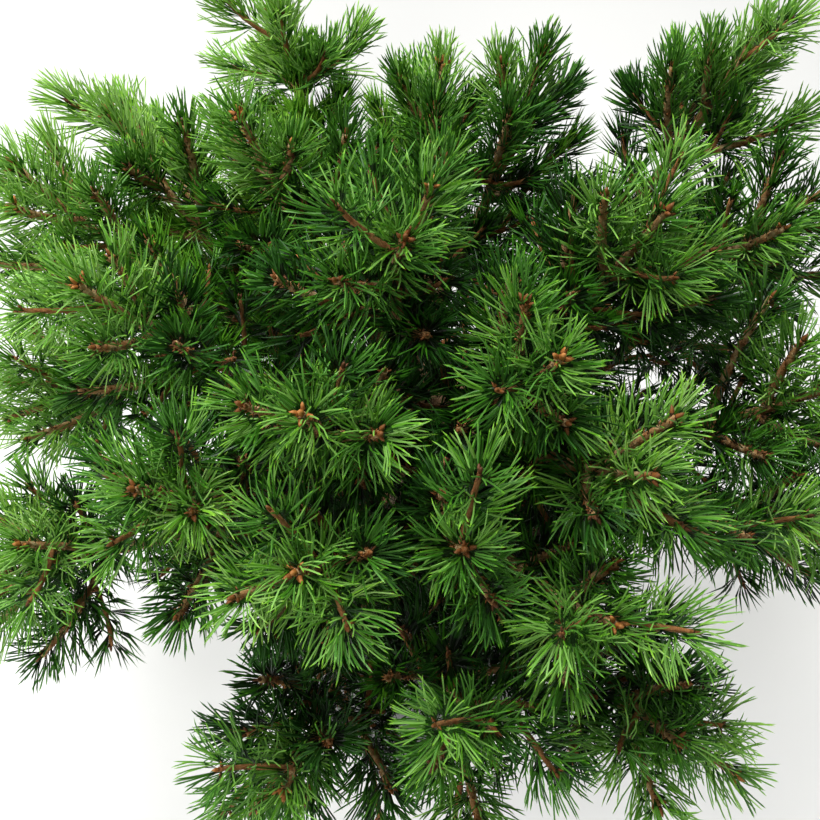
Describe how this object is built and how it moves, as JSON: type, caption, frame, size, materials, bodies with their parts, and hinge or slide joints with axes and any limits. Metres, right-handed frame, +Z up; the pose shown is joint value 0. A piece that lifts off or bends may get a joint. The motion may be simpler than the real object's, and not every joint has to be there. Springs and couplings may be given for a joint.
{
  "type": "potted dwarf white pine",
  "caption": "Dwarf five-needle pine in a plain round pot: short trunk, boughs that curve up, and a dense bushy crown of green needle tufts.",
  "frame": {"origin": "centre of the pot's flat underside", "axes": "+Z up along the pot's axis; the picture was taken from the -Y side, looking down, with +X to its right"},
  "size_m": [0.4962, 0.4858, 0.4834],
  "materials": {
    "pot": "black moulded plastic, fine matt grain",
    "soil": "dark bark compost",
    "bark": "rough scaly bark, orange brown on young twigs",
    "needles": "satin green needles with paler inner faces"
  },
  "bodies": {
    "root": {"pot": "pot", "soil": "soil", "trunk": "bark", "bough_front_left_low": "bark", "bough_back_low_left": "bark", "bough_back_low_right": "bark", "bough_front_right_low": "bark", "bough_left_tuft": "bark", "bough_right_face": "bark", "bough_back_left_outer": "bark", "bough_back_right_tall": "bark", "bough_left_low_face": "bark", "bough_back_centre": "bark", "bough_front": "bark", "bough_left_face": "bark", "bough_back_left_tall": "bark", "bough_upper_right": "bark", "bough_mid_left": "bark", "bough_mid_right": "bark", "bough_left_low_back": "bark", "bough_back_low": "bark", "bough_right_low": "bark", "bough_front_low": "bark", "bough_front_right": "bark", "bough_front_left": "bark", "bough_right_mid": "bark", "bough_left_back": "bark", "bough_upper_left": "bark", "bough_back_right": "bark", "bough_right_back": "bark", "needles_front_left_low": "needles", "needles_back_low_left": "needles", "needles_back_low_right": "needles", "needles_front_right_low": "needles", "needles_left_tuft": "needles", "needles_right_face": "needles", "needles_back_left_outer": "needles", "needles_back_right_tall": "needles", "needles_left_low_face": "needles", "needles_back_centre": "needles", "needles_front": "needles", "needles_left_face": "needles", "needles_back_left_tall": "needles", "needles_upper_right": "needles", "needles_mid_left": "needles", "needles_mid_right": "needles", "needles_left_low_back": "needles", "needles_back_low": "needles", "needles_right_low": "needles", "needles_front_low": "needles", "needles_front_right": "needles", "needles_front_left": "needles", "needles_right_mid": "needles", "needles_left_back": "needles", "needles_upper_left": "needles", "needles_back_right": "needles", "needles_right_back": "needles", "needles_top": "needles"}
  },
  "joints": []
}
